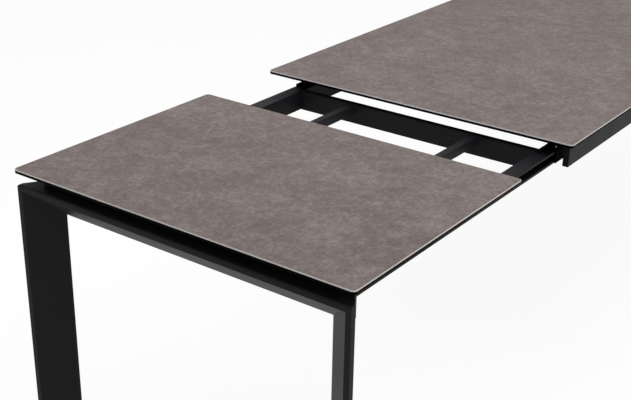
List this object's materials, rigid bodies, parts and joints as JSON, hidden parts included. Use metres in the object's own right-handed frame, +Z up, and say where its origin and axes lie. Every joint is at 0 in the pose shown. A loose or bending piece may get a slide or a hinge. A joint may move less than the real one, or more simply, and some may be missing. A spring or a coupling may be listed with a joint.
{
  "type": "extendable dining table",
  "caption": "Rectangular extendable dining table with a stone-look ceramic top, dark metal portal legs and an end leaf on a sliding carriage, shown drawn out.",
  "frame": {"origin": "on the floor, under the middle of the drawn-out table's plan", "axes": "+X along the table from the leaf's end to the fixed end, +Y towards the rear long side, +Z up"},
  "size_m": [2.792, 0.9, 0.75],
  "materials": {
    "ceramic": "matte stone-look porcelain, grey-beige, mottled",
    "black_glass": "opaque black tempered glass backing",
    "powder_coat": "fine-textured anthracite powder coat",
    "rail_steel": "satin anthracite coated roll-formed steel",
    "zinc_steel": "zinc-plated steel",
    "nylon": "black moulded nylon",
    "pad_rubber": "matte black rubber"
  },
  "bodies": {
    "table_frame": {"main_top_ceramic": "ceramic", "main_top_glass": "black_glass", "far_portal": "powder_coat", "far_front_leg_cap": "nylon", "far_rear_leg_cap": "nylon", "main_top_support": "powder_coat", "frame_cross_member_1": "powder_coat", "frame_cross_member_2": "powder_coat", "frame_cross_member_3": "powder_coat", "front_apron": "powder_coat", "front_apron_cap": "nylon", "rear_apron": "powder_coat", "rear_apron_cap": "nylon", "front_fixed_rail": "rail_steel", "rear_fixed_rail": "rail_steel", "front_frame_roller_axle": "zinc_steel", "rear_frame_roller_axle": "zinc_steel"},
    "carriage": {"near_portal": "powder_coat", "near_front_leg_cap": "nylon", "near_rear_leg_cap": "nylon", "leaf_outer_support": "powder_coat", "leaf_inner_support": "powder_coat", "leaf_pad_outer_front": "pad_rubber", "leaf_pad_outer_rear": "pad_rubber", "leaf_pad_inner_front": "pad_rubber", "leaf_pad_inner_rear": "pad_rubber", "carriage_crossbeam": "powder_coat", "front_inner_bar": "powder_coat", "rear_inner_bar": "powder_coat", "front_rail_bracket": "powder_coat", "rear_rail_bracket": "powder_coat", "front_bracket_bolt_upper": "zinc_steel", "front_bracket_bolt_lower": "zinc_steel", "rear_bracket_bolt_upper": "zinc_steel", "rear_bracket_bolt_lower": "zinc_steel", "front_slide_rail": "rail_steel", "rear_slide_rail": "rail_steel", "front_tail_roller_axle": "zinc_steel", "rear_tail_roller_axle": "zinc_steel"},
    "leaf": {"leaf_ceramic": "ceramic", "leaf_glass": "black_glass", "leaf_pin_front": "zinc_steel", "leaf_pin_rear": "zinc_steel"},
    "near_front_levelling_foot": {"near_front_foot": "nylon"},
    "near_rear_levelling_foot": {"near_rear_foot": "nylon"},
    "far_front_levelling_foot": {"far_front_foot": "nylon"},
    "far_rear_levelling_foot": {"far_rear_foot": "nylon"},
    "front_frame_wheel": {"front_frame_roller": "nylon"},
    "front_tail_wheel": {"front_tail_roller": "nylon"},
    "rear_frame_wheel": {"rear_frame_roller": "nylon"},
    "rear_tail_wheel": {"rear_tail_roller": "nylon"}
  },
  "joints": [
    {"name": "extension_slide", "type": "slide", "parent": "table_frame", "child": "carriage", "axis": [-1, 0, 0], "range_m": [-0.251, 0]},
    {"name": "leaf_lift", "type": "slide", "parent": "carriage", "child": "leaf", "axis": [0, 0, 1], "range_m": [0, 0.1]},
    {"name": "near_front_foot_screw", "type": "slide", "parent": "carriage", "child": "near_front_levelling_foot", "axis": [0, 0, -1], "range_m": [0, 0.01]},
    {"name": "near_rear_foot_screw", "type": "slide", "parent": "carriage", "child": "near_rear_levelling_foot", "axis": [0, 0, -1], "range_m": [0, 0.01]},
    {"name": "far_front_foot_screw", "type": "slide", "parent": "table_frame", "child": "far_front_levelling_foot", "axis": [0, 0, -1], "range_m": [0, 0.01]},
    {"name": "far_rear_foot_screw", "type": "slide", "parent": "table_frame", "child": "far_rear_levelling_foot", "axis": [0, 0, -1], "range_m": [0, 0.01]},
    {"name": "front_frame_roller_spin", "type": "hinge", "parent": "table_frame", "child": "front_frame_wheel", "pos_m": [-0.364, -0.369, 0.6903], "axis": [0, 1, 0], "range_deg": [-1205, 5]},
    {"name": "front_tail_roller_spin", "type": "hinge", "parent": "carriage", "child": "front_tail_wheel", "pos_m": [-0.0704, -0.369, 0.6909], "axis": [0, 1, 0], "range_deg": [-5, 880]},
    {"name": "rear_frame_roller_spin", "type": "hinge", "parent": "table_frame", "child": "rear_frame_wheel", "pos_m": [-0.364, 0.369, 0.6903], "axis": [0, 1, 0], "range_deg": [-1205, 5]},
    {"name": "rear_tail_roller_spin", "type": "hinge", "parent": "carriage", "child": "rear_tail_wheel", "pos_m": [-0.0704, 0.369, 0.6909], "axis": [0, 1, 0], "range_deg": [-5, 880]}
  ],
  "couplings": [
    {"joint": "front_frame_roller_spin", "follows": "extension_slide", "rad_per_m": 83.333},
    {"joint": "front_tail_roller_spin", "follows": "extension_slide", "rad_per_m": -58.824},
    {"joint": "rear_frame_roller_spin", "follows": "extension_slide", "rad_per_m": 83.333},
    {"joint": "rear_tail_roller_spin", "follows": "extension_slide", "rad_per_m": -58.824}
  ]
}
